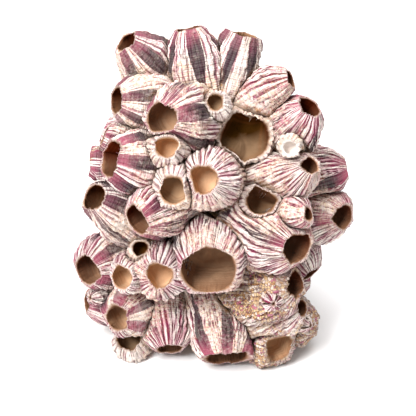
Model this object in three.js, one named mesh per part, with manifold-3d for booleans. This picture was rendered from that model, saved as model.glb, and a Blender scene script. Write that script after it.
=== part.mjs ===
// Barnacle cluster: a clump of acorn barnacles, each its own hollow shell, grown side by side on a lump of
// old shell and crust that is cut off flat underneath.
// Millimetres, +Z up. The origin is the middle of the flat cut, and the showy side faces -Y.
import * as THREE from "three";
import { mergeVertices } from "three/addons/utils/BufferGeometryUtils.js";
import Module from "manifold-3d";

const wasm = await Module();
wasm.setup();

const UP = new THREE.Vector3(0, 0, 1);

// Driving dimensions
const SEAM = 0.8; // room left between two shells that crowd each other
const CRUST_SEAM = 1.5; // room left between a shell's foot and the crust
const SPARE = 0.3; // room kept clear round a shell where another would still run into it
const LIP = 1.1; // wall thickness at a shell's mouth
const WALL = 2.4; // least wall thickness at the floor of a shell's hollow
const HOLLOW = 1.6; // depth of a shell's hollow, in mouth radii
const RIB = 0.35; // a rib stands this far proud, and a furrow this far back
const TOOTH = 0.7; // depth of the notches round a mouth
const ROUNDING = 2.2; // how fully a shell keeps its width towards the mouth
const LEAST_SHARE = 0.3; // a crowded shell keeps at least this share of its radius
const BALLS = 12; // balls strung along a shell to stand for it when its neighbours grow round it
const CROWD_STEPS = 24; // steps in which a crowded radius is searched for
const FOOT_STEPS = 40; // steps in which a foot is searched for along the shell

// Levels along a shell, as shares of its length from foot to mouth
const FOOT_LEAST = -0.1;
const FOOT_MOST = 0.5;
const FOOT_STEP = 0.15; // a foot rises no more than this from one column to the next
const BELLY = 0.55; // where a shell is widest
const OUTER_SHARES = [0, 0.4, 0.78, 1]; // rings up the outside, as shares of the way from foot to mouth
const FLOOR_OVER_FOOT = 0.1; // the hollow's floor stays this far above the foot

// The crust lump: its radius, and its middle's place on Y, at heights from the cut upwards
const BLOCK = 200; // edge of the block that the flat cut takes away
const CRUST_COLUMNS = 18;
const CRUST_LUMP = 1.6; // height of the lumps on the crust
const CRUST_LEVELS = [
  { z: 0, radius: 33, y: 5 },
  { z: 9, radius: 35, y: 5 },
  { z: 28, radius: 33, y: 6 },
  { z: 50, radius: 32, y: 6 },
  { z: 72, radius: 31, y: 5 },
  { z: 92, radius: 28, y: 3 },
  { z: 108, radius: 23, y: 2 },
  { z: 120, radius: 15, y: 2 },
  { z: 127, radius: 6, y: 2 },
];

// Colours and finish
const PURPLE = { color: 0xa87f92, roughness: 0.75, metalness: 0 };
const PALE = { color: 0xd8c3b4, roughness: 0.8, metalness: 0 };
const CRUSTED = { color: 0xae8f82, roughness: 0.9, metalness: 0 };
const CRUST = { color: 0x7d6656, roughness: 0.95, metalness: 0 };

// Each shell: the middle of its mouth, the way its axis points there as heading (0 to the front, 90 to the
// right) and rise above level, its length, its radius at foot, belly and mouth, its finish, and for a bent
// shell the way its root points
const SHELLS = [
  shell("big_hollow", [17, -25, 118], [5, 26], 28, [14, 15, 12.5], PALE),
  shell("front_hollow", [0, -60, 66], [-5, -2], 34, [18, 18, 14], PURPLE),
  shell("right_large", [42, -51, 73], [38, 4], 40, [18, 19, 9], PALE, [70, -18]),
  shell("upper_left", [-21, -37, 133], [-35, 20], 38, [15, 16.5, 9.2], PURPLE),
  shell("left_banded", [-46, -35, 112], [-62, 22], 42, [16, 16.5, 9.2], PURPLE),
  shell("centre_round", [-2, -52, 110], [-12, 28], 34, [15, 15, 7.5], PURPLE),
  shell("lower_right_crusted", [42, -48, 50], [55, 30], 40, [17, 17, 7], CRUSTED),
  shell("front_foot", [9, -52, 10], [5, -38], 44, [16, 16.5, 10.5], PURPLE, [28, -26]),
  shell("left_row_outer", [-59, -30, 47], [-35, 10], 38, [15, 15.5, 8], PURPLE, [-60, -5]),
  shell("top_left", [-39, 6, 153], [-75, 50], 42, [14, 14.5, 6.5], PURPLE),
  shell("top_middle", [-9, 8, 159], [-150, 70], 46, [14, 15, 7], PURPLE),
  shell("top_right", [17, 8, 156], [135, 66], 48, [12, 12, 8.5], PALE),
  shell("shoulder_right", [39, -8, 140], [85, 25], 42, [12, 11.5, 5.5], PURPLE, [60, 65]),
  shell("right_of_hollow", [48, -16, 129], [60, 56], 38, [13, 14, 6.5], PURPLE),
  shell("white_stub", [38, -34, 117], [-10, 20], 16, [7, 6, 4.5], PALE),
  shell("shoulder_left", [-43, -17, 133], [-65, 18], 40, [14, 15, 7], PURPLE),
  shell("small_crown", [3, -27, 137], [0, 40], 20, [8, 8, 5], PALE),
  shell("small_left", [-19, -45, 124], [-5, 30], 26, [10, 10.5, 6.5], PALE),
  shell("far_left_upper", [-49, -22, 117], [-95, 25], 24, [10, 10, 5.5], PURPLE),
  shell("far_left_lower", [-56, -24, 104], [-90, 5], 28, [11, 11, 6.5], CRUSTED),
  shell("left_grey", [-54, -33, 90], [-60, 40], 40, [14, 14.5, 8], PURPLE),
  shell("left_slanted", [-33, -50, 87], [-42, -5], 42, [14, 15, 8], PURPLE),
  shell("centre_narrow", [-16, -53, 105], [-8, 15], 32, [11, 12, 7.5], PALE),
  shell("right_long", [48, -33, 107], [50, 45], 46, [13, 14.5, 5.5], PALE, [78, 8]),
  shell("far_right", [68, 0, 88], [95, 10], 42, [15, 15, 6], PURPLE),
  shell("right_upper", [26, -40, 91], [15, 40], 28, [13, 13.5, 9.2], PALE),
  shell("right_bump", [47, -46, 88], [55, 25], 20, [10, 10.5, 4], PURPLE),
  shell("right_pointed", [66, -19, 71], [42, 15], 40, [14, 15, 7], PURPLE, [75, 10]),
  shell("right_hanging", [51, -18, 37], [45, -35], 34, [13, 13.5, 6.5], PURPLE),
  shell("lower_right_small", [45, -46, 37], [70, 35], 32, [11, 11, 6], CRUSTED),
  shell("lower_right_round", [35, -48, 14], [25, 5], 30, [15, 15.5, 8], CRUSTED),
  shell("lower_right_lump", [55, -30, 15], [80, -5], 30, [12, 12.5, 5], CRUSTED),
  shell("left_row_middle", [-41, -49, 55], [-25, 15], 30, [10, 11, 6.5], PURPLE, [-35, 10]),
  shell("left_row_inner", [-23, -57, 61], [-5, 20], 32, [13, 14, 7], PURPLE),
  shell("left_gap", [-32, -44, 68], [10, 50], 20, [7, 7, 5], PALE),
  shell("lower_left_outer", [-61, -21, 22], [-75, 5], 36, [12, 12.5, 5.5], PURPLE),
  shell("lower_left", [-44, -45, 29], [-20, 15], 36, [13, 14, 7], PURPLE, [-45, 5]),
  shell("lower_left_cup", [-39, -38, 13], [-15, 55], 22, [10, 10.5, 7.5], PALE, [-30, 10]),
  shell("lower_middle", [-19, -44, 10], [5, -35], 36, [15, 15, 7], PURPLE),
  shell("back_top", [-2, 31, 138], [178, 45], 36, [15, 14, 6.5], PURPLE),
  shell("back_top_left", [-36, 30, 126], [-138, 32], 38, [16, 16, 7], PALE),
  shell("back_top_right", [30, 34, 122], [142, 30], 38, [17, 16.5, 6.5], PURPLE),
  shell("back_upper_left", [-51, 14, 100], [-108, 12], 34, [15, 14, 7], PURPLE),
  shell("back_upper_middle", [-3, 55, 104], [-176, 15], 36, [18, 18, 8], PURPLE),
  shell("back_right_shoulder", [54, 24, 104], [110, 18], 40, [15, 14.5, 6.5], PURPLE),
  shell("back_left", [-58, 20, 64], [-108, 5], 36, [18, 16.5, 7.5], PALE),
  shell("back_middle_left", [-32, 50, 76], [-145, 5], 36, [18, 18, 8], PURPLE),
  shell("back_middle_right", [30, 53, 72], [148, 3], 36, [19, 18, 8], CRUSTED),
  shell("back_right", [54, 24, 56], [110, 2], 34, [18, 16, 7], PURPLE),
  shell("back_lower_left", [-38, 46, 29], [-138, -8], 36, [18, 18, 7.5], PURPLE),
  shell("back_lower_middle", [1, 58, 32], [178, -6], 36, [18, 17, 7.5], CRUSTED),
  shell("back_lower_right", [37, 46, 22], [140, -10], 36, [18, 18, 7], PURPLE),
  shell("low_far_left", [-60, 10, 20], [-100, -8], 36, [16, 15, 6.5], CRUSTED),
  shell("low_far_right", [52, 8, 18], [95, -8], 34, [16, 15, 6], PURPLE),
];

// One row of the list above. The root is the half of a shell nearest its foot.
function shell(name, mouth, end, length, [foot, belly, rim], finish, root = end) {
  const [endWay, rootWay] = [direction(end), direction(root)];
  const knee = new THREE.Vector3(...mouth).addScaledVector(endWay, -length / 2);
  const base = knee.clone().addScaledVector(rootWay, -length / 2);
  const axis = new THREE.QuadraticBezierCurve3(base, knee, new THREE.Vector3(...mouth));
  return { name, axis, endWay, rootWay, length, radii: [foot, belly, rim], finish };
}

function direction([heading, rise]) {
  const h = THREE.MathUtils.degToRad(heading);
  const r = THREE.MathUtils.degToRad(rise);
  return new THREE.Vector3(Math.sin(h) * Math.cos(r), -Math.cos(h) * Math.cos(r), Math.sin(r));
}

// Radius before crowding at level t: it swells gently from foot to belly, then rounds over to the mouth
function freeRadius({ radii: [foot, belly, rim] }, t) {
  if (t < BELLY) return belly - (belly - foot) * ((BELLY - t) / BELLY) ** 2;
  return belly - (belly - rim) * ((t - BELLY) / (1 - BELLY)) ** ROUNDING;
}

function surfacePoint(s, t, angle, radius) {
  const way = s.rootWay.clone().lerp(s.endWay, t).normalize();
  const side = new THREE.Vector3().crossVectors(way, UP).normalize();
  const front = new THREE.Vector3().crossVectors(way, side);
  const point = s.axis.getPoint(t);
  point.addScaledVector(side, radius * Math.cos(angle));
  return point.addScaledVector(front, radius * Math.sin(angle));
}

// Balls strung from foot to mouth, which stand for a shell when its neighbours grow round it
function ballsOf(s) {
  return Array.from({ length: BALLS }, (_, i) => {
    const t = i / (BALLS - 1);
    return { centre: s.axis.getPoint(t), radius: freeRadius(s, t) };
  });
}

// How far a point is from a shell's balls, as a share of their radius
function shareOutside(balls, point) {
  return Math.min(...balls.map((b) => (b.centre.distanceTo(point) - SEAM) / b.radius));
}

// Radius at a level and angle once the neighbours have taken their room: each gives up the same share
function crowdedRadius(s, t, angle) {
  const free = freeRadius(s, t);
  for (let step = 0; step < CROWD_STEPS; step++) {
    const radius = free * (1 - (step / CROWD_STEPS) * (1 - LEAST_SHARE));
    const point = surfacePoint(s, t, angle, radius);
    const clear = (other) => other === s || shareOutside(other.balls, point) > radius / free;
    if (SHELLS.every(clear)) return radius;
  }
  return free * LEAST_SHARE;
}

// The crust's radius and middle at a height, in the direction of an angle round its middle
function crustAt(z, angle) {
  const above = Math.max(CRUST_LEVELS.findIndex((level) => level.z >= z), 1);
  const [low, high] = [CRUST_LEVELS[above - 1], CRUST_LEVELS[above]];
  const share = (z - low.z) / (high.z - low.z);
  const lump = CRUST_LUMP * Math.sin(3 * angle + z / 14) * Math.sin(2 * angle - z / 9);
  const radius = THREE.MathUtils.lerp(low.radius, high.radius, share) + lump;
  return { radius, y: THREE.MathUtils.lerp(low.y, high.y, share) };
}

function insideCrust({ x, y, z }) {
  if (z > CRUST_LEVELS.at(-1).z) return false;
  const level = Math.max(z, 0);
  const middle = crustAt(level, 0).y;
  const { radius } = crustAt(level, Math.atan2(y - middle, x));
  return Math.hypot(x, y - middle) < radius + CRUST_SEAM;
}

// Level at which a line along the shell, at an angle, comes down on the crust or runs out of room
function footLevel(s, angle) {
  for (let step = 0; step <= FOOT_STEPS; step++) {
    const level = THREE.MathUtils.lerp(FOOT_MOST, FOOT_LEAST, step / FOOT_STEPS);
    const radius = crowdedRadius(s, level, angle);
    const full = radius === freeRadius(s, level) * LEAST_SHARE;
    if (full || insideCrust(surfacePoint(s, level, angle, radius))) return level;
  }
  return FOOT_LEAST;
}

function columnsOf({ radii: [, belly] }) {
  if (belly <= 11) return 8;
  return belly < 16 ? 10 : 14;
}

// The angles of a shell's columns, the foot's level at each, and the foot's level in the middle
function footingOf(s) {
  const columns = columnsOf(s);
  const angles = Array.from({ length: columns }, (_, c) => (2 * Math.PI * c) / columns);
  const found = angles.map((angle) => footLevel(s, angle));
  const feet = found.map((foot, c) => {
    const highestBeside = Math.max(found.at(c - 1), found[(c + 1) % columns]);
    return Math.max(foot, highestBeside - FOOT_STEP);
  });
  const mean = feet.reduce((sum, foot) => sum + foot, 0) / columns;
  const share = (step) => THREE.MathUtils.lerp(FOOT_MOST, mean, step / FOOT_STEPS);
  const levels = Array.from({ length: FOOT_STEPS }, (_, step) => share(step));
  const middle = levels.find((level) => insideCrust(s.axis.getPoint(level))) ?? mean;
  return { angles, feet, middle };
}

// One hollow shell: rings of points up the outside, over the lip and down the inside to the hollow's floor
function shellGeometry(s, { angles, feet, middle }) {
  const rib = (c) => (c % 2 ? -RIB : RIB);
  const tooth = (level, c) => (level === 1 && c % 2 ? TOOTH / s.length : 0);
  const rim = freeRadius(s, 1);
  const floor = Math.max(1 - (HOLLOW * rim) / s.length, Math.max(middle, ...feet) + FLOOR_OVER_FOOT);
  const outside = OUTER_SHARES.map((share) =>
    angles.map((angle, c) => {
      const level = THREE.MathUtils.lerp(feet[c], 1, share);
      const radius = crowdedRadius(s, level, angle) + rib(c);
      return surfacePoint(s, level - tooth(level, c), angle, radius);
    }),
  );
  const inside = [1, floor].map((level) =>
    angles.map((angle, c) => {
      const wall = RIB + (level === 1 ? LIP : WALL);
      const radius = Math.min(crowdedRadius(s, level, angle) - wall, rim - RIB - LIP);
      return surfacePoint(s, level - tooth(level, c), angle, Math.max(radius, LIP));
    }),
  );
  return ringsGeometry([...outside, ...inside], s.axis.getPoint(middle), s.axis.getPoint(floor));
}

// The room a shell fills, hollow and all, with a little to spare
function roomGeometry(s, { angles, feet, middle }) {
  const under = SPARE / s.length;
  const rings = OUTER_SHARES.map((share) =>
    angles.map((angle, c) => {
      const level = THREE.MathUtils.lerp(feet[c], 1, share);
      const radius = crowdedRadius(s, level, angle) + RIB + SPARE;
      return surfacePoint(s, share ? level : level - under, angle, radius);
    }),
  );
  return ringsGeometry(rings, s.axis.getPoint(middle - under), s.axis.getPoint(1));
}

// A closed skin over rings of equally many points, with a fan from the first ring to one end point and a fan
// from the last ring to the other
function ringsGeometry(rings, firstEnd, lastEnd) {
  const columns = rings[0].length;
  const points = [...rings.flat(), firstEnd, lastEnd];
  const faces = [];
  for (let r = 0; r + 1 < rings.length; r++) {
    for (let c = 0; c < columns; c++) {
      const next = (c + 1) % columns;
      const [a, b] = [r * columns + c, r * columns + next];
      const [d, e] = [a + columns, b + columns];
      faces.push(a, b, e, a, e, d);
    }
  }
  const last = (rings.length - 1) * columns;
  for (let c = 0; c < columns; c++) {
    const next = (c + 1) % columns;
    faces.push(points.length - 2, next, c, points.length - 1, last + c, last + next);
  }
  return new THREE.BufferGeometry().setFromPoints(points).setIndex(faces);
}

function crustGeometry() {
  const rings = CRUST_LEVELS.map(({ z, y }) =>
    Array.from({ length: CRUST_COLUMNS }, (_, c) => {
      const angle = (2 * Math.PI * c) / CRUST_COLUMNS;
      const { radius } = crustAt(z, angle);
      return new THREE.Vector3(radius * Math.cos(angle), y + radius * Math.sin(angle), z);
    }),
  );
  const [bottom, top] = [CRUST_LEVELS[0], CRUST_LEVELS.at(-1)];
  return ringsGeometry(rings, new THREE.Vector3(0, bottom.y, bottom.z), new THREE.Vector3(0, top.y, top.z));
}

// Everything below the flat cut
function belowCut() {
  const block = new THREE.BoxGeometry(BLOCK, BLOCK, BLOCK).translate(0, 0, -BLOCK / 2);
  block.deleteAttribute("normal");
  block.deleteAttribute("uv");
  return block;
}

function toSolid(geometry) {
  const merged = mergeVertices(geometry);
  const vertProperties = new Float32Array(merged.attributes.position.array);
  const triVerts = new Uint32Array(merged.index.array);
  return new wasm.Manifold(new wasm.Mesh({ numProp: 3, vertProperties, triVerts }));
}

function toGeometry(solid) {
  const { vertProperties, triVerts } = solid.getMesh();
  return new THREE.BufferGeometry()
    .setAttribute("position", new THREE.BufferAttribute(vertProperties, 3))
    .setIndex(new THREE.BufferAttribute(triVerts, 1));
}

function largestBody(solid) {
  return solid.decompose().reduce((best, body) => (body.volume() > best.volume() ? body : best));
}

// A solid less another one, left as it is where the two are apart
function cutClear(solid, other) {
  return solid.intersect(other).isEmpty() ? solid : solid.subtract(other);
}

function addMesh(group, name, solid, finish) {
  const mesh = new THREE.Mesh(toGeometry(solid), new THREE.MeshStandardMaterial(finish));
  mesh.name = name;
  group.add(mesh);
}

const cluster = new THREE.Group();
const crust = toSolid(crustGeometry());
addMesh(cluster, "crust", crust, CRUST);
for (const s of SHELLS) {
  s.balls = ballsOf(s);
}
const taken = [crust, toSolid(belowCut())];
for (const s of SHELLS) {
  const footing = footingOf(s);
  const solid = largestBody(taken.reduce(cutClear, toSolid(shellGeometry(s, footing))));
  addMesh(cluster, "barnacle_" + s.name, solid, s.finish);
  taken.push(solid, toSolid(roomGeometry(s, footing)));
}

export default cluster;
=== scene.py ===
from math import cos, pi, radians, sin

import bpy
import numpy as np
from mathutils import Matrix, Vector


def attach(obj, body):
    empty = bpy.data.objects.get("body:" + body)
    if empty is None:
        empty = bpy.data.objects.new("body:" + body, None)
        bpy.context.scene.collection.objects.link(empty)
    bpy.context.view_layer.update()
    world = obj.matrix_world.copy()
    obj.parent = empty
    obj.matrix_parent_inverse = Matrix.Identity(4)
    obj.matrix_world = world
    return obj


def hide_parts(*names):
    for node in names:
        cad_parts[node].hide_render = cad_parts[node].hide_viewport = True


# Barnacle cluster: each shell is drawn as a fine mesh round the same axis and radii as its solid,
# with ribs, smooth bands, a ragged mouth and a hollow, and the crust shows between the shells.

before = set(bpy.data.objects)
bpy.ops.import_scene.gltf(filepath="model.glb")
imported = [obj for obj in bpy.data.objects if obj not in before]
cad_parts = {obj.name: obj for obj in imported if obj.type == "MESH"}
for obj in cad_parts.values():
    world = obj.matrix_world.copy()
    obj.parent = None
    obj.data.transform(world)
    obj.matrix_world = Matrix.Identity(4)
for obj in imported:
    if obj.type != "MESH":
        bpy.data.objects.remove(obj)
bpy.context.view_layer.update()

MM = 0.001
UP = np.array([0.0, 0.0, 1.0])
SEED = 11

# Driving dimensions in millimetres
SEAM = 0.15  # room left between two shells that crowd each other
LIP = 0.6  # wall thickness at a shell's mouth
WALL = 1.6  # least wall thickness further in
LEAST_RADIUS = 0.2  # least radius of a hollow
RIB_SPACING = 2.5
RIB_HEIGHT = 1.75
RIDGE_STEP = 0.45  # height of the steps that growth left across the ribs
STEP_SPACING = 5.0
STEP_STRAY = 0.45  # how far the steps stray, in spacings
LUMP = 0.75  # height of the low swellings on a shell
ROUGHNESS = 0.38  # height of the fine unevenness on a shell
BAND_DEPTH = 0.35  # how far the smooth bands lie below the ribs
TOOTH = 1.5  # depth of the notches between the plates round a mouth
RAG = 0.26  # depth of the fine raggedness round a mouth
TOOTH_OUT = 0.6  # most that a mouth's edge stands forward
RING_SPACING = 2.3  # spacing of the growth rings in a hollow
GRAIN_SHIFT = 40  # most that the streaks of one shell are shifted, so that no two are alike
DIRT_AND_SHADE_REACH = 1.8  # how far from a neighbour earth has lodged and painted shade falls
LINING_STEP = 0.3  # step by which the lining of a hollow is raised clear of the crust
LINING_STEPS = 30
CRUST_LUMP = 1.6
CRUST_GRIT = 0.9
USUAL_RIM = 8  # mouth radius at which lips and notches have the sizes above
USUAL_BELLY = 14  # belly radius at which ribs have the height above
BACK_FROM = 9  # a mouth with a greater Y is at the back
SPARE = 6  # how much further off than it can reach a neighbour still counts as near

# Unevenness: the longest and shortest wave in millimetres, and how many waves
LUMP_WAVES = (22, 9, 7)
ROUGH_WAVES = (4.5, 2, 9)
STEP_WAVES = (14, 6, 6)
BREAK_WAVES = (9, 3, 7)
CRUST_WAVES = (12, 5, 8)
GRIT_WAVES = (4, 2.6, 8)
INNER_SHORTEST, INNER_COUNT = 4, 6
CRUST_TWISTS = (14, 9)  # height in which each pattern of swellings on the crust turns by a radian

# Ribs: how far they stray round a shell, in radians, with the waves of that round it and along it
RIB_STRAYS = ((0.07, 2, 0), (0.035, 5, 0), (0.04, 3, 5), (0.018, 7, 9))
TWIST = 0.3  # most that they turn round a shell from foot to mouth, in radians
LEAST_RIBS = 9
RIB_WIDTHS = (0.35, 1.65)
RIB_STRENGTHS = (0.25, 1)
RIB_ROUNDNESS = 0.6
RIB_MIDDLE = 0.7  # height on a rib, from 0 to 1, that lies on the plain surface
RIB_BREAKS = 0.45  # how much a rib rises and falls along its length
RIBS_MOST = 1.15  # most height of a large shell's ribs, in usual heights

# Bands, as shares of the way round a shell or of a plate
BAND_WIDTH = 0.068  # half the width at the mouth
BAND_STRAY = 0.16
BAND_SHARES = (0.55, 1)
BAND_EDGE = 0.72

# Mouths
RAG_WAVES = (7, 11, 17, 26, 37)
CORNERS = (5, 6)  # fewest and most
CORNER_STRAY = 0.22
CORNERED = 0.9  # how much of its corners an outline keeps
OVAL = 0.05
LIP_MOST = 1.3  # most thickness of a large shell's lip, in usual thicknesses
LIP_RINGS = ((0.3, 0.25), (0.75, 0.22))  # share of the lip's thickness, and rise in millimetres

# Grids: steps in millimetres, and counts
COLUMN_STEP = 0.62  # round a shell
ROW_STEP = 1.05  # along a shell
INNER_STEP = 1.2  # down a hollow
CRUST_STEP = 1.3
ROW_CROWDING = 0.9  # below 1, the rows of a shell lie closer towards its mouth
BACK_COARSER = 1.5  # how many times coarser the grid of a shell at the back is
LEAST_ROWS = 12
LEAST_INNER_ROWS = 10
COARSE_ROWS = 44  # of the grid on which a crowded radius is worked out
COARSE_COLUMNS = 84
CROWD_STEPS = 9  # steps in the search for a crowded radius
BALLS = 12  # balls along its axis that stand for a neighbour
PLATES = 6  # plates of a shell

# Levels as shares of a shell's length, and other shares
BELLY = 0.55  # level of the widest place
ROUNDING = 2.2  # the higher, the more suddenly a shell narrows to its mouth
LEAST_SHARE = 0.3  # share of its free radius that a crowded shell keeps at least
FOOT_LEAST = -0.1
FOOT_MOST = 0.5
OUTLINE_FROM = 0.6  # where a shell begins to take on the outline of its mouth
MOUTH_FROM = 0.72  # where the ribs begin to fade and the edge to be ragged
MOUTH_MOST = 1.06
SINK = 0.04  # how far a foot goes into the crust
HOLLOW = 1.7  # depth of a hollow, in mouth radii
FLOOR_MOST = 0.75  # highest level to which crust can raise a hollow's floor
DEEPEST = 0.985  # share of the way down a hollow at which its last ring lies
INNER_LUMP = 0.06  # height of the lumps in a hollow, in mouth radii
RING_HEIGHT = 0.016  # height of the growth rings in a hollow, in mouth radii
RING_STRAY = 1.5  # how far they stray, in radians of their wave
RAGGED_DEPTH = 0.3  # share of a hollow's depth at which its mouth's raggedness has gone
BOWL_POWER = 5  # the higher, the flatter a hollow's floor
BOWL_SWELL = 0.1
LEAST_BOWL = 0.05
LINING_CLEAR = 1.7  # how far the lining of a hollow stays from the crust, in heights of its grit
SHADE, SHADE_ABOVE = 1.08, 0.32  # how dark a hollow's middle is, and how much darker its upper wall
ROOM_SHARE = 0.8  # share of the room to a neighbour that a shell's relief may take
UNCROWDED = 0.8  # a mouth keeps its own outline where it has this share of its free radius
SQUEEZED_DIRT_AND_SHADE, LODGED_DIRT_AND_SHADE = 0.7, 0.9  # earth with painted shade where a shell is squeezed, and beside a neighbour
CLEAN_AND_UNSHADED_FROM, DIRTY_AND_SHADED_BELOW = 0.9, 0.35  # levels between which the earth and its painted shade thin out
CRUSTED_ROUGHER = 2  # how many times rougher a crusted shell is

# The crust lump: height, radius, and its middle's place on Y
CRUST_LEVELS = np.array(
    [
        (0, 33, 5),
        (9, 35, 5),
        (28, 33, 6),
        (50, 32, 6),
        (72, 31, 5),
        (92, 28, 3),
        (108, 23, 2),
        (120, 15, 2),
        (127, 6, 2),
    ],
    float,
)

# Material slots
PURPLE, PALE, CRUSTED, OLD_CRUST = "purple_shell", "pale_shell", "crusted_shell", "old_crust"

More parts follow.
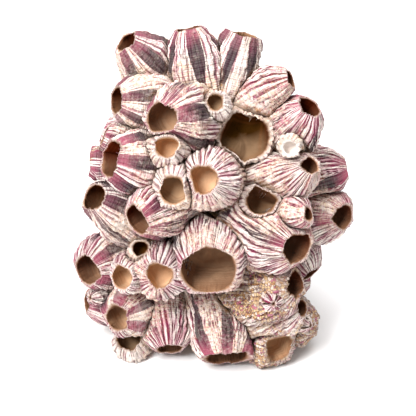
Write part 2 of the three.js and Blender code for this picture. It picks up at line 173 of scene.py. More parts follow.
# Each shell: the middle of its mouth, the way its axis points there as heading and rise, its length,
# its radius at foot, belly and mouth, its material slot, its look (how rosy, how banded, how dark
# inside), and for a bent shell the way its root points
SHELL_ROWS = [
    ("big_hollow", (17, -25, 118), (5, 26), 28, (14, 15, 12.5), PALE, (0.2, 0.1, 0.85)),
    ("front_hollow", (0, -60, 66), (-5, -2), 34, (18, 18, 14), PURPLE, (0.75, 0.5, 0.6)),
    ("right_large", (42, -51, 73), (38, 4), 40, (18, 19, 9), PALE, (0.8, 0.45, 0.85), (70, -18)),
    ("upper_left", (-21, -37, 133), (-35, 20), 38, (15, 16.5, 9.2), PURPLE, (0.7, 0.8, 0.6)),
    ("left_banded", (-46, -35, 112), (-62, 22), 42, (16, 16.5, 9.2), PURPLE, (0.75, 0.95, 0.9)),
    ("centre_round", (-2, -52, 110), (-12, 28), 34, (15, 15, 7.5), PURPLE, (0.75, 0.3, 0.15)),
    ("lower_right_crusted", (42, -48, 50), (55, 30), 40, (17, 17, 7), CRUSTED, (0.6, 0.2, 0.8)),
    ("front_foot", (9, -52, 10), (5, -38), 44, (16, 16.5, 10.5), PURPLE, (0.9, 0.7, 0.8), (28, -26)),
    ("left_row_outer", (-59, -30, 47), (-35, 10), 38, (15, 15.5, 8), PURPLE, (0.8, 0.6, 0.8), (-60, -5)),
    ("top_left", (-39, 6, 153), (-75, 50), 42, (14, 14.5, 6.5), PURPLE, (0.55, 0.95, 0.85)),
    ("top_middle", (-9, 8, 159), (-150, 70), 46, (14, 15, 7), PURPLE, (0.7, 0.95, 0.8)),
    ("top_right", (17, 8, 156), (135, 66), 48, (12, 12, 8.5), PALE, (0.45, 0.8, 0.7)),
    ("shoulder_right", (39, -8, 140), (85, 25), 42, (12, 11.5, 5.5), PURPLE, (0.95, 0.5, 0.9), (60, 65)),
    ("right_of_hollow", (48, -16, 129), (60, 56), 38, (13, 14, 6.5), PURPLE, (0.95, 0.6, 0.9)),
    ("white_stub", (38, -34, 117), (-10, 20), 16, (7, 6, 4.5), PALE, (0, 0, 0.1)),
    ("shoulder_left", (-43, -17, 133), (-65, 18), 40, (14, 15, 7), PURPLE, (0.45, 0.95, 0.9)),
    ("small_crown", (3, -27, 137), (0, 40), 20, (8, 8, 5), PALE, (0.2, 0.1, 0.5)),
    ("small_left", (-19, -45, 124), (-5, 30), 26, (10, 10.5, 6.5), PALE, (0.35, 0.1, 0.1)),
    ("far_left_upper", (-49, -22, 117), (-95, 25), 24, (10, 10, 5.5), PURPLE, (0.7, 0.7, 0.8)),
    ("far_left_lower", (-56, -24, 104), (-90, 5), 28, (11, 11, 6.5), CRUSTED, (0.7, 0.7, 0.8)),
    ("left_grey", (-54, -33, 90), (-60, 40), 40, (14, 14.5, 8), PURPLE, (0.35, 0.7, 0.85)),
    ("left_slanted", (-33, -50, 87), (-42, -5), 42, (14, 15, 8), PURPLE, (0.95, 0.6, 0.9)),
    ("centre_narrow", (-16, -53, 105), (-8, 15), 32, (11, 12, 7.5), PALE, (0.3, 0.1, 0.45)),
    ("right_long", (48, -33, 107), (50, 45), 46, (13, 14.5, 5.5), PALE, (0.8, 0.2, 0.8), (78, 8)),
    ("far_right", (68, 0, 88), (95, 10), 42, (15, 15, 6), PURPLE, (0.95, 0.6, 0.8)),
    ("right_upper", (26, -40, 91), (15, 40), 28, (13, 13.5, 9.2), PALE, (0.4, 0.15, 0.6)),
    ("right_bump", (47, -46, 88), (55, 25), 20, (10, 10.5, 4), PURPLE, (1, 0.3, 0.8)),
    ("right_pointed", (66, -19, 71), (42, 15), 40, (14, 15, 7), PURPLE, (0.9, 0.45, 0.8), (75, 10)),
    ("right_hanging", (51, -18, 37), (45, -35), 34, (13, 13.5, 6.5), PURPLE, (0.8, 0.4, 0.9)),
    ("lower_right_small", (45, -46, 37), (70, 35), 32, (11, 11, 6), CRUSTED, (0.6, 0.3, 0.8)),
    ("lower_right_round", (35, -48, 14), (25, 5), 30, (15, 15.5, 8), CRUSTED, (0.6, 0.3, 0.2)),
    ("lower_right_lump", (55, -30, 15), (80, -5), 30, (12, 12.5, 5), CRUSTED, (0.5, 0.2, 0.8)),
    ("left_row_middle", (-41, -49, 55), (-25, 15), 30, (10, 11, 6.5), PURPLE, (0.7, 0.3, 0.25), (-35, 10)),
    ("left_row_inner", (-23, -57, 61), (-5, 20), 32, (13, 14, 7), PURPLE, (0.8, 0.35, 0.1)),
    ("left_gap", (-32, -44, 68), (10, 50), 20, (7, 7, 5), PALE, (0.15, 0.1, 0.9)),
    ("lower_left_outer", (-61, -21, 22), (-75, 5), 36, (12, 12.5, 5.5), PURPLE, (0.8, 0.6, 0.8)),
    ("lower_left", (-44, -45, 29), (-20, 15), 36, (13, 14, 7), PURPLE, (0.8, 0.7, 0.5), (-45, 5)),
    ("lower_left_cup", (-39, -38, 13), (-15, 55), 22, (10, 10.5, 7.5), PALE, (0.25, 0.1, 0.6), (-30, 10)),
    ("lower_middle", (-19, -44, 10), (5, -35), 36, (15, 15, 7), PURPLE, (1, 0.5, 0.7)),
    ("back_top", (-2, 31, 138), (178, 45), 36, (15, 14, 6.5), PURPLE, (0.75, 0.65, 0.6)),
    ("back_top_left", (-36, 30, 126), (-138, 32), 38, (16, 16, 7), PALE, (0.4, 0.3, 0.5)),
    ("back_top_right", (30, 34, 122), (142, 30), 38, (17, 16.5, 6.5), PURPLE, (0.75, 0.65, 0.6)),
    ("back_upper_left", (-51, 14, 100), (-108, 12), 34, (15, 14, 7), PURPLE, (0.75, 0.65, 0.6)),
    ("back_upper_middle", (-3, 55, 104), (-176, 15), 36, (18, 18, 8), PURPLE, (0.75, 0.65, 0.6)),
    ("back_right_shoulder", (54, 24, 104), (110, 18), 40, (15, 14.5, 6.5), PURPLE, (0.75, 0.65, 0.6)),
    ("back_left", (-58, 20, 64), (-108, 5), 36, (18, 16.5, 7.5), PALE, (0.4, 0.3, 0.5)),
    ("back_middle_left", (-32, 50, 76), (-145, 5), 36, (18, 18, 8), PURPLE, (0.75, 0.65, 0.6)),
    ("back_middle_right", (30, 53, 72), (148, 3), 36, (19, 18, 8), CRUSTED, (0.5, 0.25, 0.7)),
    ("back_right", (54, 24, 56), (110, 2), 34, (18, 16, 7), PURPLE, (0.75, 0.65, 0.6)),
    ("back_lower_left", (-38, 46, 29), (-138, -8), 36, (18, 18, 7.5), PURPLE, (0.75, 0.65, 0.6)),
    ("back_lower_middle", (1, 58, 32), (178, -6), 36, (18, 17, 7.5), CRUSTED, (0.5, 0.25, 0.7)),
    ("back_lower_right", (37, 46, 22), (140, -10), 36, (18, 18, 7), PURPLE, (0.75, 0.65, 0.6)),
    ("low_far_left", (-60, 10, 20), (-100, -8), 36, (16, 15, 6.5), CRUSTED, (0.5, 0.25, 0.7)),
    ("low_far_right", (52, 8, 18), (95, -8), 34, (16, 15, 6), PURPLE, (0.75, 0.65, 0.6)),
]

# Shells whose mouth is taller than wide, or wider than tall where below 0
TALL_MOUTHS = {
    "centre_narrow": 0.16,
    "left_banded": 0.1,
    "front_hollow": 0.02,
    "small_left": 0.08,
    "right_upper": -0.14,
    "right_long": -0.2,
    "front_foot": -0.15,
    "big_hollow": -0.06,
}

# How much more ragged than usual a mouth's edge is
RAGGED = {"big_hollow": 1.6, "front_hollow": 0.7, "lower_right_crusted": 2, "lower_left_cup": 1.5}

# Tiny barnacles that grew on the shells, given in the same way
TINY_ROWS = [
    ("tiny_striped", (31, -61, 48), (5, 20), 9, (5, 4.5, 1.6), PURPLE, (1, 0, 1)),
    ("tiny_low", (50, -47, 26), (45, 10), 8, (4.5, 4, 1.6), PURPLE, (0.7, 0.3, 0.8)),
    ("tiny_left", (-58, -33, 33), (-40, 20), 8, (4.5, 4, 1.5), PURPLE, (0.7, 0.3, 0.8)),
]


class Shell:
    def __init__(self, index, name, mouth, end, length, radii, slot, look, root=None):
        self.name = name
        self.slot = slot
        self.length = length
        self.foot, self.belly, self.rim = radii
        self.rosy, self.banded, self.dark = look
        self.end_way = direction(*end)
        self.root_way = direction(*(root or end))
        self.mouth = np.array(mouth, float)
        self.knee = self.mouth - self.end_way * length / 2
        self.base = self.knee - self.root_way * length / 2
        self.at_back = self.mouth[1] > BACK_FROM
        self.rng = np.random.default_rng(SEED + index)
        levels = np.linspace(0, 1, BALLS)
        self.ball_centres = self.axis_point(levels)
        self.ball_radii = self.free_radius(levels)

    def is_near(self, other):
        reach = (self.length + self.belly + other.length) / 2 + other.belly
        return np.linalg.norm(other.knee - self.knee) < reach + SPARE

    def axis_point(self, t):
        t = np.asarray(t)[..., None]
        return (1 - t) ** 2 * self.base + 2 * t * (1 - t) * self.knee + t**2 * self.mouth

    def free_radius(self, t):
        swell = self.belly - (self.belly - self.foot) * (np.maximum(BELLY - t, 0) / BELLY) ** 2
        over = np.maximum(t - BELLY, 0) / (1 - BELLY)
        return swell - (self.belly - self.rim) * over**ROUNDING

    def point(self, t, angle, radius):
        t, angle, radius = np.broadcast_arrays(t, angle, radius)
        way = unit(self.root_way + (self.end_way - self.root_way) * t[..., None])
        side = unit(np.cross(way, UP))
        front = np.cross(way, side)
        out = side * np.cos(angle)[..., None] + front * np.sin(angle)[..., None]
        return self.axis_point(t) + out * radius[..., None]


def unit(v):
    return v / np.linalg.norm(v, axis=-1, keepdims=True)


def direction(heading, rise):
    h, r = radians(heading), radians(rise)
    return np.array([sin(h) * cos(r), -cos(h) * cos(r), sin(r)])


def smooth(low, high, value):
    x = np.clip((value - low) / (high - low), 0, 1)
    return x * x * (3 - 2 * x)


def waves(rng, points, longest, shortest, count):
    """A smooth uneven field between about -1 and 1, from waves of random direction and length."""
    total = np.zeros(points.shape[:-1])
    for _ in range(count):
        way = unit(rng.normal(size=3))
        length = rng.uniform(shortest, longest)
        total += np.sin(points @ way * 2 * pi / length + rng.uniform(0, 2 * pi))
    return total / np.sqrt(count)


def crust_radius(z, angle):
    twists = [z / height for height in CRUST_TWISTS]
    lump = CRUST_LUMP * np.sin(3 * angle + twists[0]) * np.sin(2 * angle - twists[1])
    return np.interp(z, CRUST_LEVELS[:, 0], CRUST_LEVELS[:, 1]) + lump


def crust_middle(z):
    return np.interp(z, CRUST_LEVELS[:, 0], CRUST_LEVELS[:, 2])


def inside_crust(points, margin=0):
    z = np.clip(points[..., 2], 0, None)
    x, y = points[..., 0], points[..., 1] - crust_middle(z)
    within = np.hypot(x, y) < crust_radius(z, np.arctan2(y, x)) + margin
    return within & (points[..., 2] < CRUST_LEVELS[-1, 0] + margin)


def crowded_radius(shell, others, t, angle):
    """Radius once the neighbours have taken their room, where each gives up the same share of its own,
    and the room that the free radius leaves to the nearest neighbour."""
    free = shell.free_radius(t) * np.ones_like(angle)
    low, high = LEAST_SHARE * free, free.copy()
    near = [other for other in others if shell.is_near(other)]
    for step in range(CROWD_STEPS):
        radius = high if step == 0 else (low + high) / 2
        points = shell.point(t, angle, radius)
        share = np.full(free.shape, np.inf)
        for other in near:
            for centre, size in zip(other.ball_centres, other.ball_radii):
                share = np.minimum(share, (np.linalg.norm(points - centre, axis=-1) - SEAM) / size)
        clear = share > radius / free
        low = np.where(clear, radius, low)
        high = np.where(clear, high, radius)
        if step == 0:
            room = np.maximum(share - 1, 0) * free
    return low, room


def look_up(grid, row, turn):
    """Values between the points of a grid whose columns wrap round. row and turn run from 0 to 1."""
    rows, columns = grid.shape
    i = np.clip(row, 0, 1) * (rows - 1)
    j = (turn % 1) * columns
    i0 = np.minimum(i.astype(int), rows - 2)
    j0 = j.astype(int) % columns
    j1 = (j0 + 1) % columns
    fi, fj = i - i0, j - np.floor(j)
    top = grid[i0, j0] * (1 - fj) + grid[i0, j1] * fj
    bottom = grid[i0 + 1, j0] * (1 - fj) + grid[i0 + 1, j1] * fj
    return top * (1 - fi) + bottom * fi


def foot_levels(shell, levels, angles, crowd):
    """At each angle, the level where the shell's side comes down on the crust."""
    inside = inside_crust(shell.point(levels[:, None], angles[None, :], crowd))
    inside &= (levels < FOOT_MOST)[:, None]
    last = inside.shape[0] - 1 - np.argmax(inside[::-1], axis=0)
    return np.where(inside.any(axis=0), levels[last], FOOT_LEAST)


def ribs_of(shell, turn, t):
    """Height of the ribs from 0 in a furrow to 1 on a ridge, and how strongly each stands out."""
    count = max(LEAST_RIBS, round(2 * pi * shell.belly / RIB_SPACING))
    phases = shell.rng.uniform(0, 2 * pi, len(RIB_STRAYS))
    stray = shell.rng.uniform(-TWIST, TWIST) * t
    for (size, around, along), phase in zip(RIB_STRAYS, phases):
        stray = stray + size * np.sin(around * 2 * pi * turn + along * t + phase)
    widths = np.cumsum(shell.rng.uniform(*RIB_WIDTHS, count))
    edges = np.concatenate([[0], widths / widths[-1]])
    place = np.interp((turn + stray / (2 * pi)) % 1, edges, np.arange(count + 1))
    strength = shell.rng.uniform(*RIB_STRENGTHS, count)[np.minimum(place.astype(int), count - 1)]
    return np.sin(pi * (place % 1)) ** RIB_ROUNDNESS, strength


def bands_of(shell, turn, t):
    """Where the smooth dark bands between the plates run, wide at the mouth and narrow at the foot,
    and where the first one is."""
    start = shell.rng.uniform()
    band = np.zeros_like(turn)
    for plate in range(PLATES):
        middle = start + (plate + shell.rng.uniform(-BAND_STRAY, BAND_STRAY)) / PLATES
        width = shell.rng.uniform(*BAND_SHARES) * BAND_WIDTH * smooth(0.02, 1.05, t)
        off = np.abs((turn - middle + 0.5) % 1 - 0.5)
        weight = shell.rng.uniform(*BAND_SHARES)
        band = np.maximum(band, weight * smooth(width, BAND_EDGE * width, off))
    return band, start


def cornered(rng, turn, corners):
    """A closed outline of straight edges between corners at uneven places, as a share of the radius
    at the corners."""
    places = (np.arange(corners) + rng.uniform(-CORNER_STRAY, CORNER_STRAY, corners)) / corners
    places = np.append(places, places[0] + 1)
    turn = (turn - places[0]) % 1 + places[0]
    edge = np.clip(np.searchsorted(places, turn, side="right") - 1, 0, corners - 1)
    middle = (places[edge] + places[edge + 1]) / 2
    half = (places[edge + 1] - places[edge]) / 2
    return np.cos(2 * pi * half) / np.cos(2 * pi * (turn - middle))


def mouth_edge(shell, turn, start):
    """How far the mouth's edge stands back, in millimetres, and how much wider it is there."""
    size = shell.rim / USUAL_RIM * RAGGED.get(shell.name, 1)
    notch = np.abs(np.cos(pi * PLATES / 2 * (turn - start))) ** 0.7
    back = TOOTH * size * (1 - notch) * (0.6 + 0.4 * np.sin(2 * pi * turn + shell.rng.uniform(0, 6)))
    for count in RAG_WAVES:
        back += RAG * size * np.sin(2 * pi * count * turn + shell.rng.uniform(0, 6)) / count**0.5
    outline = cornered(shell.rng, turn, shell.rng.integers(*CORNERS, endpoint=True))
    wide = CORNERED * (outline - outline.mean())
    wide += OVAL * np.cos(4 * pi * turn + shell.rng.uniform(0, 6))
    wide -= TALL_MOUTHS.get(shell.name, 0) * np.cos(4 * pi * turn)
    return np.maximum(back, -TOOTH_OUT), wide


class Fit:
    """How a shell fits among its neighbours: its crowded radius, the room round it, and its foot."""

    def __init__(self, shell, others):
        self.levels = np.linspace(FOOT_LEAST - SINK, MOUTH_MOST, COARSE_ROWS)
        angles = np.linspace(0, 2 * pi, COARSE_COLUMNS, endpoint=False)
        self.crowd, self.room = crowded_radius(shell, others, self.levels[:, None], angles[None, :])
        feet = foot_levels(shell, self.levels, angles, self.crowd) - SINK
        self.coarseness = BACK_COARSER if shell.at_back else 1
        self.columns = int(2 * pi * shell.belly / COLUMN_STEP / self.coarseness)
        self.turn = np.arange(self.columns) / self.columns
        self.foot = look_up(np.vstack([feet, feet]), np.zeros(self.columns), self.turn)

    def row(self, level):
        return (level - self.levels[0]) / (self.levels[-1] - self.levels[0])

    def radius(self, level, turn):
        return look_up(self.crowd, self.row(level), turn)

    def apart(self, level, turn):
        return look_up(self.room, self.row(level), turn)


class Outside:
    """The rings of points up the outside of a shell, and what its lip and hollow take from them."""

    def __init__(self, shell, fit):
        rows = max(LEAST_ROWS, int(shell.length * (1 - fit.foot.mean()) / ROW_STEP / fit.coarseness))
        up = np.linspace(0, 1, rows)[:, None] ** ROW_CROWDING
        t = fit.foot + (1 - fit.foot) * up
        turns = np.broadcast_to(fit.turn, t.shape)
        ridge, strength = ribs_of(shell, turns, t)
        band, start = bands_of(shell, turns, t)
        back, self.wide = mouth_edge(shell, fit.turn, start)
        band = band * shell.banded
        near_mouth = smooth(MOUTH_FROM, 1, t)
        self.level = t - back / shell.length * near_mouth
        plain = fit.radius(self.level, turns)
        uncrowded = plain > UNCROWDED * shell.free_radius(self.level)
        plain = plain * (1 + self.wide * smooth(OUTLINE_FROM, 1, t) * uncrowded)
        surface = shell.point(self.level, 2 * pi * turns, plain)
        apart = fit.apart(self.level, turns)

        lumps = LUMP * waves(shell.rng, surface, *LUMP_WAVES)
        lumps += ROUGHNESS * waves(shell.rng, surface, *ROUGH_WAVES)
        if shell.slot == CRUSTED:
            lumps *= CRUSTED_ROUGHER
        steps = self.level * shell.length / STEP_SPACING
        steps = steps + STEP_STRAY * waves(shell.rng, surface, *STEP_WAVES)
        lumps += RIDGE_STEP * (0.5 - steps % 1) * smooth(0.1, 0.4, up)
        size = min(RIBS_MOST, shell.belly / USUAL_BELLY)
        ribbed = RIB_HEIGHT * size * (ridge - RIB_MIDDLE) * (0.35 + 0.65 * strength) * (1 - 0.75 * band)
        ribbed *= (1 - 0.45 * near_mouth) * (1 + RIB_BREAKS * waves(shell.rng, surface, *BREAK_WAVES))
        relief = lumps * (1 - 0.5 * near_mouth) + ribbed - BAND_DEPTH * size * band
        self.radius = plain + np.minimum(relief, SEAM + ROOM_SHARE * apart)
        self.points = shell.point(self.level, 2 * pi * turns, self.radius)

        # Earth between the shells, which is also painted shade where they crowd each other.
        squeeze = 1 - plain / shell.free_radius(np.minimum(self.level, 1))
        dirt_and_shade = SQUEEZED_DIRT_AND_SHADE * squeeze + LODGED_DIRT_AND_SHADE * smooth(DIRT_AND_SHADE_REACH, 0, apart)
        self.values = {
            "furrow": np.clip(1 - ridge, 0, 1) * (0.45 + 0.55 * strength),
            "band": band,
            "along": up,
            "inside": 0,
            "deep": 0,
            "dirt_and_shade": np.clip(dirt_and_shade, 0, 1) * smooth(CLEAN_AND_UNSHADED_FROM, DIRTY_AND_SHADED_BELOW, up),
        }


def hollow_of(shell, fit, outside, thickness):
    """The rings of points down the hollow, how far down and at what level each is, and its radius."""
    in_crust = inside_crust(shell.axis_point(fit.levels)) & (fit.levels < FLOOR_MOST)
    floor = max(fit.foot.max(), fit.levels[in_crust].max(initial=FOOT_LEAST)) + 2 * SINK
    depth = min(HOLLOW * shell.rim, shell.length * (1 - floor))
    rows = max(LEAST_INNER_ROWS, int((depth + shell.rim) / INNER_STEP / fit.coarseness))
    down = np.linspace(0, DEEPEST, rows)[:, None]
    bow = np.sin(down * pi / 2)
    ragged = smooth(RAGGED_DEPTH, 0, down)
    edge = outside.level[-1]
    level = (edge * ragged + edge.mean() * (1 - ragged)) * (1 - bow) + (1 - depth / shell.length) * bow
    bowl = np.sqrt(1 - down**BOWL_POWER) * (1 + BOWL_SWELL * np.sin(pi * down))
    rings = 2 * pi * bow * depth / RING_SPACING + RING_STRAY * np.sin(4 * pi * fit.turn)
    even = fit.radius(np.ones(fit.columns), fit.turn)
    even = even * (1 + outside.wide * (even > UNCROWDED * shell.rim))
    radius = outside.radius[-1] * ragged + even * (1 - ragged) - thickness
    radius = radius * bowl * (1 + RING_HEIGHT * np.sin(rings))
    most = fit.radius(level, np.broadcast_to(fit.turn, level.shape)) - WALL
    radius = np.minimum(radius, np.maximum(most * np.maximum(bowl, LEAST_BOWL), LEAST_RADIUS))
    points = shell.point(level, 2 * pi * fit.turn[None, :], radius)
    waviness = (INNER_SHORTEST + shell.rim, INNER_SHORTEST, INNER_COUNT)
    uneven = INNER_LUMP * shell.rim * down * waves(shell.rng, points, *waviness)
    points = points + uneven[..., None] * shell.end_way
    for _ in range(LINING_STEPS):
        covered = inside_crust(points, LINING_CLEAR * CRUST_GRIT)
        points = points + LINING_STEP * covered[..., None] * shell.end_way
    return points, down, level, radius


def shell_piece(shell, others):
    fit = Fit(shell, others)
    outside = Outside(shell, fit)
    edge_level, edge_radius = outside.level[-1], outside.radius[-1]
    thickness = LIP * min(LIP_MOST, shell.rim / USUAL_RIM)
    lip = [shell.point(edge_level + rise / shell.length, 2 * pi * fit.turn, edge_radius - share * thickness)
           for share, rise in LIP_RINGS]
    inner, down, inner_level, inner_radius = hollow_of(shell, fit, outside, thickness)

    none = dict.fromkeys(outside.values, 0)
    edge = {key: outside.values[key][-1] for key in ("furrow", "band")}
    lip_values = {**none, **edge, "along": 1, "inside": 0.3}
    inner_values = {**none, "along": 1, "inside": np.where(down > 0, 1, 0.75), "deep": down}
    grids = [outside.points, np.array(lip), inner]
    values = [outside.values, lip_values, inner_values]
    attributes = {key: join_values(key, grids, values) for key in outside.values}
    count = len(attributes["along"])
    attributes["rosy"] = np.full(count, shell.rosy)
    # Painted shade in a hollow: its colour is darkened, more on the upper wall, which the wall above keeps
    # from the light.
    above = (inner - shell.axis_point(inner_level))[..., 2] / np.maximum(inner_radius, 1)
    shaded = np.clip(shell.dark * (SHADE + SHADE_ABOVE * above), 0, 1).ravel()
    attributes["dark"] = np.concatenate([np.zeros(count - 2 - shaded.size), shaded, [0, shell.dark]])
    levels = [outside.level, np.ones((len(lip), 1)), inner_level]
    grain = [grain_of(shell, fit.turn, len(g), level * shell.length) for g, level in zip(grids, levels)]
    attributes["grain"] = np.vstack([*[g.reshape(-1, 3) for g in grain], np.zeros((2, 3))])
    ends = [shell.axis_point(fit.foot.mean()), inner[-1].mean(axis=0)]
    piece = grid_object("shell_" + shell.name, np.vstack(grids), ends, attributes)
    finish_piece(piece, shell.slot)
    return piece


def join_values(key, grids, values):
    """One value for each point of a shell's grids, and for the end points at its foot and hollow."""
    parts = [np.broadcast_to(np.asarray(v[key], float), g.shape[:2]).ravel() for g, v in zip(grids, values)]
    return np.concatenate([*parts, [0.0], [1.0 if key in ("inside", "deep") else 0.0]])


def grain_of(shell, turn, rows, lengths):
    """Place on the shell unrolled into a tube, in millimetres, for streaks that run along it."""
    angle = 2 * pi * turn
    lengths = np.broadcast_to(lengths, (rows, len(turn)))
    offset = GRAIN_SHIFT * shell.rng.uniform(size=3)
    flat = [shell.belly * np.cos(angle) + 0 * lengths, shell.belly * np.sin(angle) + 0 * lengths, lengths]
    return np.stack(flat, axis=-1) + offset


def grid_object(name, rings, ends, attributes):
    """A closed mesh over rings of points, with a fan from the first and last ring to an end point."""
    rows, columns = rings.shape[:2]
    points = np.vstack([rings.reshape(-1, 3), *ends]) * MM
    points[:, 2] = np.maximum(points[:, 2], 0)
    index = np.arange(rows * columns).reshape(rows, columns)
    beside = np.roll(index, -1, axis=1)
    quads = np.stack([index[:-1], beside[:-1], beside[1:], index[1:]], axis=-1).reshape(-1, 4)
    first = np.stack([beside[0], index[0], np.full(columns, rows * columns)], axis=-1)
    last = np.stack([index[-1], beside[-1], np.full(columns, rows * columns + 1)], axis=-1)
    mesh = bpy.data.meshes.new(name)
    mesh.from_pydata(points.tolist(), [], quads.tolist() + first.tolist() + last.tolist())
    for key, values in attributes.items():
        vector = values.ndim == 2
        layer = mesh.attributes.new(key, "FLOAT_VECTOR" if vector else "FLOAT", "POINT")
        layer.data.foreach_set("vector" if vector else "value", values.astype(np.float32).ravel())
    mesh.shade_smooth()
    piece = bpy.data.objects.new(name, mesh)
    bpy.context.scene.collection.objects.link(piece)
    return piece


def finish_piece(piece, slot):
    piece.data.materials.append(MATERIALS[slot])
    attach(piece, "root")


def crust_piece():
    rng = np.random.default_rng(SEED)
    top = CRUST_LEVELS[-1, 0]
    columns = int(2 * pi * CRUST_LEVELS[:, 1].max() / CRUST_STEP)
    heights = np.linspace(0, top, int(top / CRUST_STEP))[:, None]
    angle = np.linspace(0, 2 * pi, columns, endpoint=False)[None, :]
    radius = crust_radius(heights, angle)
    out = np.stack(np.broadcast_arrays(np.cos(angle), np.sin(angle), 0 * heights), axis=-1)
    middle = np.stack([0 * heights, crust_middle(heights), heights], axis=-1)
    points = middle + out * radius[..., None]
    grit = CRUST_GRIT * (0.8 * waves(rng, points, *CRUST_WAVES) + 0.5 * waves(rng, points, *GRIT_WAVES))
    points = points + out * (grit * smooth(0, 3, heights))[..., None]
    ends = [np.array([0, CRUST_LEVELS[0, 2], 0]), np.array([0, CRUST_LEVELS[-1, 2], top + 1])]
    piece = grid_object("crust_lump", points, ends, {"grit": np.append(grit.ravel(), [0, 0])})
    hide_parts("crust")
    finish_piece(piece, OLD_CRUST)


class Graph:
    """Short names for the nodes that the materials are made of."""

    def __init__(self, name):
        self.material = bpy.data.materials.new(name)
        self.material.use_nodes = True
        self.tree = self.material.node_tree
        self.shader = self.tree.nodes["Principled BSDF"]

    def node(self, kind, inputs, **settings):
        node = self.tree.nodes.new("ShaderNode" + kind)
        for key, value in settings.items():
            setattr(node, key, value)
        for key, value in inputs.items():
            self.put(node.inputs[key], value)
        return node

    def put(self, socket, value):
        if isinstance(value, bpy.types.NodeSocket):
            self.tree.links.new(value, socket)
        else:
            socket.default_value = value

    def finish(self, colour, roughness, normal):
        self.put(self.shader.inputs["Base Color"], colour)
        self.put(self.shader.inputs["Roughness"], roughness)
        self.put(self.shader.inputs["Normal"], normal)
        return self.material

    def value(self, name):
        return self.node("Attribute", {}, attribute_name=name).outputs["Fac"]

    def vector(self, name):
        return self.node("Attribute", {}, attribute_name=name).outputs["Vector"]

    def place(self):
        return self.node("TexCoord", {}).outputs["Object"]

    def math(self, operation, a, b=0.0, clamp=False):
        return self.node("Math", {0: a, 1: b}, operation=operation, use_clamp=clamp).outputs[0]

    def plus(self, a, b):
        return self.math("ADD", a, b)

    def times(self, *factors):
        product = factors[0]
        for factor in factors[1:]:
            product = self.math("MULTIPLY", product, factor)
        return product

    def less(self, start, value, share):
        """start less a share of the value, from 0 to 1."""
        return self.math("SUBTRACT", start, self.times(value, share), clamp=True)

    def off_middle(self, value, share):
        """A share of how far the value is from a half."""
        return self.times(self.math("SUBTRACT", value, 0.5), share)

    def step(self, value, low, high):
        inputs = {"Value": value, "From Min": low, "From Max": high}
        return self.node("MapRange", inputs, interpolation_type="SMOOTHSTEP").outputs["Result"]

    def spread(self, value, low, high):
        return self.node("MapRange", {"Value": value, "To Min": low, "To Max": high}).outputs["Result"]

    def noise(self, vector, scale, detail=4.0, roughness=0.6):
        inputs = {"Vector": vector, "Scale": scale, "Detail": detail, "Roughness": roughness}
        return self.node("TexNoise", inputs).outputs["Fac"]

    def streaks(self, vector, scale, detail):
        stretched = self.node("Mapping", {"Vector": vector, "Scale": scale}).outputs["Vector"]
        return self.noise(stretched, 1.0, detail)

    def cells(self, vector, scale, **settings):
        return self.node("TexVoronoi", {"Vector": vector, "Scale": scale}, **settings).outputs

    def mix(self, share, a, b):
        return self.node("Mix", {0: share, 6: a, 7: b}, data_type="RGBA").outputs[2]

    def bump(self, height, distance):
        inputs = {"Height": height, "Strength": BUMP_STRENGTH, "Distance": distance}
        return self.node("Bump", inputs).outputs["Normal"]


def colour(code):
    """A linear colour from the usual six-figure code."""
    parts = [int(code[i : i + 2], 16) / 255 for i in (0, 2, 4)]
    return tuple(p / 12.92 if p <= 0.04045 else ((p + 0.055) / 1.055) ** 2.4 for p in parts) + (1.0,)


CREAM, CHALK, GREY = colour("dfd0c3"), colour("f4ece6"), colour("8f7082")
STRAW, OCHRE, UMBER, BROWN = colour("d6b685"), colour("b08350"), colour("86502a"), colour("4a2410")
ROSE, PINK, MAGENTA, PLUM = colour("a84b70"), colour("bb5670"), colour("6b1438"), colour("3d0c1d")
BAND_DARK, BAND_MID = colour("150b12"), colour("3a2731")
TAN, OLIVE, RUST, SOOT = colour("e2bb95"), colour("442a0c"), colour("4a1809"), colour("240d06")

# Sizes of the patterns: stretch of those that run along a shell, scale of those that don't
STREAK_STRETCH = (0.5, 0.5, 0.07)
THREAD_STRETCH = (1.3, 1.3, 0.1)
CLOUD_SCALE = 110.0
FINE_SCALE = 620.0
BLOTCH_SCALE = 45.0
EARTH_SCALE = 70.0
SPECKLE_SCALE = 780.0
PIT_SCALE = 210.0
CRUST_CLOUD_SCALE = 90.0
CRUST_FINE_SCALE = 420.0

# Relief that is only shaded: strength, and heights in metres
BUMP_STRENGTH = 0.8
SHELL_BUMP = 0.0008
CRUST_BUMP = 0.001


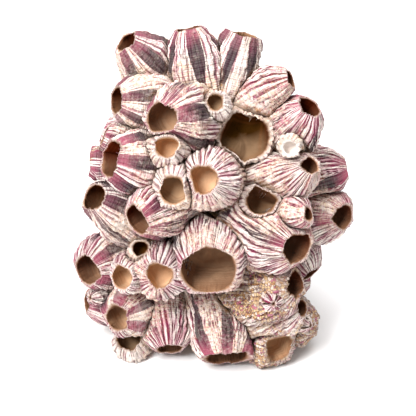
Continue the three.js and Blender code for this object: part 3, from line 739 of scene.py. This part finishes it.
class ShellGraph(Graph):
    """The material of a shell, laid on in coats: ribs, bands, weather, earth that also paints the shade
    between the shells, then the hollow's colours with painted shade on its upper wall.
    """

    def __init__(self, slot):
        super().__init__(slot)
        self.at, grain = self.place(), self.vector("grain")
        self.growth = self.node("SeparateXYZ", {0: grain}).outputs["Z"]
        self.along, self.rosy = self.value("along"), self.value("rosy")
        self.inside = self.value("inside")
        self.streak = self.streaks(grain, STREAK_STRETCH, 5.0)
        self.thread = self.streaks(grain, THREAD_STRETCH, 3.0)
        self.cloud = self.noise(self.at, CLOUD_SCALE, 4.0)
        self.fine = self.noise(self.at, FINE_SCALE, 5.0, 0.7)
        self.blotch = self.noise(self.at, BLOTCH_SCALE, 3.0)
        self.lines = self.rings(6.0, self.cloud, 3.0)
        self.wrinkles = self.rings(3.6, self.streak, 9.0)

    def rings(self, rate, unevenness, share):
        """Waves across a shell, as its growth left them."""
        return self.math("SINE", self.plus(self.times(self.growth, rate), self.times(unevenness, share)))

    def ribs(self, rose_share):
        """Pale ridges with rosy streaks, dark threads and dark furrows."""
        ridges = self.mix(self.step(self.fine, 0.32, 0.66), CREAM, CHALK)
        ridges = self.mix(self.times(self.step(self.cloud, 0.55, 0.72), 0.4), ridges, GREY)
        straw = self.step(self.plus(self.blotch, self.times(self.cloud, 0.4)), 0.72, 0.84)
        ridges = self.mix(self.times(straw, 0.6), ridges, STRAW)
        tinge = self.step(self.plus(self.streak, self.times(self.along, 0.1)), 0.5, 0.68)
        surface = self.mix(self.times(tinge, self.rosy, rose_share), ridges, ROSE)
        stain = self.mix(self.step(self.streak, 0.4, 0.62), PLUM, MAGENTA)
        threads = self.times(self.step(self.thread, 0.52, 0.58), self.plus(self.times(self.rosy, 0.6), 0.25))
        surface = self.mix(threads, surface, stain)
        furrow = self.step(self.plus(self.value("furrow"), self.off_middle(self.streak, 0.9)), 0.2, 0.4)
        return self.mix(self.times(furrow, self.plus(self.times(self.rosy, 0.45), 0.55)), surface, stain)

    def bands(self, surface):
        """Smooth slate bands that turn pink towards the mouth, and how much of the rest is left."""
        tone = self.step(self.plus(self.times(self.lines, 0.08), self.thread), 0.3, 0.75)
        slate = self.mix(tone, BAND_DARK, BAND_MID)
        blush = self.step(self.plus(self.along, self.off_middle(self.cloud, 0.4)), 0.76, 1.02)
        slate = self.mix(self.times(blush, self.rosy, 0.62), slate, PINK)
        band = self.step(self.plus(self.value("band"), self.off_middle(self.thread, 0.8)), 0.28, 0.5)
        return self.mix(self.times(band, 0.92), surface, slate), self.less(1.0, band, 0.8)

    def speckle(self):
        """Grains of crust in several colours with dark gaps between them, and a height for each grain."""
        grains = self.cells(self.at, SPECKLE_SCALE)["Color"]
        gaps = self.cells(self.at, SPECKLE_SCALE, feature="DISTANCE_TO_EDGE")["Distance"]
        pick = self.node("SeparateColor", {0: grains}).outputs["Red"]
        pale = self.mix(self.step(pick, 0.6, 0.64), STRAW, CREAM)
        speckle = self.mix(self.step(pick, 0.4, 0.45), OCHRE, pale)
        speckle = self.mix(self.step(pick, 0.86, 0.9), speckle, ROSE)
        gap = self.step(self.plus(gaps, self.times(self.cloud, 0.2)), 0.22, 0.1)
        speckle = self.mix(gap, speckle, BROWN)
        speckle = self.mix(self.step(pick, 0.14, 0.1), speckle, PLUM)
        return self.mix(self.times(self.step(self.cloud, 0.48, 0.64), 0.6), speckle, RUST), pick

    def weather(self, surface, bare, crusting):
        """Rosy wrinkles, worn chalky patches and thin crust, on the part that the bands leave bare."""
        wrinkle = self.times(self.step(self.wrinkles, 0.35, 0.8), self.step(self.blotch, 0.48, 0.6))
        surface = self.mix(self.times(wrinkle, self.rosy, bare, 0.6), surface, ROSE)
        chalk = self.step(self.plus(self.blotch, self.times(self.fine, 0.6)), 0.86, 1.0)
        surface = self.mix(self.times(chalk, bare, 0.8), surface, CHALK)
        crust = self.step(self.plus(self.times(self.fine, 0.7), self.blotch), 0.82, 1.0)
        crust_colour = self.mix(self.step(self.cloud, 0.4, 0.6), OCHRE, CREAM)
        return self.mix(self.times(crust, bare, crusting), surface, crust_colour)

    def earth(self, surface):
        """Earth lodged between the shells, which also stands for the shade where they crowd, and small dark
        pits.
        """
        # Brown and ochre earth, laid on as real earth and as painted shade between the shells.
        dirt_and_shade = self.times(self.value("dirt_and_shade"), self.step(self.cloud, 0.15, 0.6))
        pale = self.mix(self.step(self.fine, 0.4, 0.65), OCHRE, CREAM)
        earth = self.mix(self.step(self.noise(self.at, EARTH_SCALE), 0.36, 0.54), BROWN, pale)
        surface = self.mix(self.times(dirt_and_shade, 0.8), surface, earth)
        pit = self.step(self.cells(self.at, PIT_SCALE)["Distance"], 0.1, 0.05)
        return self.mix(self.times(pit, self.step(self.blotch, 0.5, 0.62)), surface, SOOT)

    def hollow(self):
        """Tan to dark brown, ringed and clouded, with painted shade on the upper wall. The one shell with no
        rose in it is white inside.
        """
        # dark holds the hollow's own darker tone with painted shade added on its upper wall.
        deep, dark = self.value("deep"), self.value("dark")
        hollow = self.mix(dark, TAN, self.mix(self.step(self.rosy, 0.3, 0.7), OLIVE, RUST))
        ring = self.step(self.rings(3.2, self.cloud, 4.0), 0.0, 1.0)
        hollow = self.mix(self.times(ring, 0.18), hollow, UMBER)
        hollow = self.mix(self.times(self.step(deep, 1.0, 0.2), dark, 0.7), hollow, RUST)
        patches = self.times(self.step(self.cloud, 0.5, 0.75), self.less(0.45, dark, 0.45))
        hollow = self.mix(patches, hollow, TAN)
        near_lip = self.times(self.step(deep, 0.4, 0.0), self.less(0.7, dark, 0.8))
        hollow = self.mix(near_lip, hollow, UMBER)
        return self.mix(self.step(self.rosy, 0.06, 0.02), hollow, CHALK)

    def relief(self, grain_height):
        """Fine grain, growth lines and threads outside, low lumps inside."""
        marks = self.plus(self.plus(self.lines, self.times(self.thread, -3.0)), self.wrinkles)
        outside = self.plus(self.plus(self.fine, self.times(marks, 0.12)), grain_height)
        lumps = self.times(self.cloud, 1.5)
        return self.node("Mix", {0: self.inside, 2: outside, 3: lumps}).outputs[0]


def shell_material(slot, rose_share, crusting, speckling):
    g = ShellGraph(slot)
    surface, bare = g.bands(g.ribs(rose_share))
    surface = g.weather(surface, bare, crusting)
    speckle, grain = g.speckle()
    share = g.step(g.plus(g.blotch, g.times(g.fine, 0.5)), 0.6, 0.8)
    share = g.times(share, speckling, bare)
    surface = g.earth(g.mix(share, surface, speckle))
    edge = g.times(g.step(g.inside, 0.05, 0.3), g.step(g.fine, 0.3, 0.6))
    surface = g.mix(g.times(edge, 0.3), surface, CREAM)
    surface = g.mix(g.step(g.inside, 0.35, 0.7), surface, g.hollow())
    g.put(g.shader.inputs["Specular IOR Level"], g.spread(g.inside, 0.12, 0.0))
    relief = g.relief(g.times(grain, share, 0.5))
    return g.finish(surface, g.spread(g.cloud, 0.55, 0.85), g.bump(relief, SHELL_BUMP))


def crust_material():
    g = Graph(OLD_CRUST)
    place = g.place()
    cloud, fine = g.noise(place, CRUST_CLOUD_SCALE), g.noise(place, CRUST_FINE_SCALE, 6.0, 0.7)
    surface = g.mix(g.step(cloud, 0.3, 0.6), UMBER, STRAW)
    surface = g.mix(g.step(fine, 0.45, 0.7), surface, CREAM)
    surface = g.mix(g.step(g.value("grit"), 0.0, -1.0), surface, SOOT)
    return g.finish(surface, g.spread(fine, 0.75, 1.0), g.bump(fine, CRUST_BUMP))


# Studio, in metres and watts
LOOK_AT = (0, 0, 0.065)
CAMERA_DISTANCE = 0.8
CAMERA_RISE = 30
VIEW_WIDTH = 0.208
SENSOR_MM = 36
FLOOR_SIZE = 6
FLOOR_COLOUR = (0.92, 0.92, 0.92, 1)
FLOOR_ROUGHNESS = 0.9
WORLD_STRENGTH = 0.44
KEY_PLACE, KEY_SIZE, KEY_POWER = (-0.5, -0.7, 0.9), 0.5, 22
TOP_PLACE, TOP_SIZE, TOP_POWER = (0.1, 0.1, 1.1), 0.8, 14


def light(name, place, size, power):
    lamp = bpy.data.lights.new(name, "AREA")
    lamp.size = size
    lamp.energy = power
    lamp_object = bpy.data.objects.new(name, lamp)
    lamp_object.location = place
    lamp_object.rotation_euler = (Vector(LOOK_AT) - Vector(place)).to_track_quat("-Z", "Y").to_euler()
    bpy.context.scene.collection.objects.link(lamp_object)


def studio():
    bpy.ops.mesh.primitive_plane_add(size=FLOOR_SIZE)
    floor = bpy.context.object
    floor.name = "floor"
    g = Graph("floor")
    g.put(g.shader.inputs["Base Color"], FLOOR_COLOUR)
    g.put(g.shader.inputs["Roughness"], FLOOR_ROUGHNESS)
    floor.data.materials.append(g.material)
    world = bpy.data.worlds.new("studio")
    world.use_nodes = True
    background = world.node_tree.nodes["Background"]
    background.inputs["Strength"].default_value = WORLD_STRENGTH
    background.inputs["Color"].default_value = (1, 1, 1, 1)
    bpy.context.scene.world = world
    light("key", KEY_PLACE, KEY_SIZE, KEY_POWER)
    light("top", TOP_PLACE, TOP_SIZE, TOP_POWER)
    bpy.context.scene.view_settings.view_transform = "Standard"


def camera():
    lens = bpy.data.cameras.new("camera")
    lens.sensor_width = SENSOR_MM
    lens.lens = SENSOR_MM * CAMERA_DISTANCE / VIEW_WIDTH
    eye = bpy.data.objects.new("camera", lens)
    rise = radians(CAMERA_RISE)
    back, up = CAMERA_DISTANCE * cos(rise), CAMERA_DISTANCE * sin(rise)
    eye.location = (LOOK_AT[0], LOOK_AT[1] - back, LOOK_AT[2] + up)
    eye.rotation_euler = (pi / 2 - rise, 0, 0)
    bpy.context.scene.collection.objects.link(eye)
    bpy.context.scene.camera = eye


MATERIALS = {
    PURPLE: shell_material(PURPLE, rose_share=0.6, crusting=0.3, speckling=0.15),
    PALE: shell_material(PALE, rose_share=0.45, crusting=0.35, speckling=0.2),
    CRUSTED: shell_material(CRUSTED, rose_share=0.6, crusting=0.6, speckling=0.75),
    OLD_CRUST: crust_material(),
}

shells = [Shell(i, *row) for i, row in enumerate(SHELL_ROWS)]
for shell in shells:
    piece = shell_piece(shell, [other for other in shells if other is not shell])
    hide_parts("barnacle_" + shell.name)
for i, row in enumerate(TINY_ROWS, len(shells)):
    shell_piece(Shell(i, *row), [])
crust_piece()
studio()
camera()
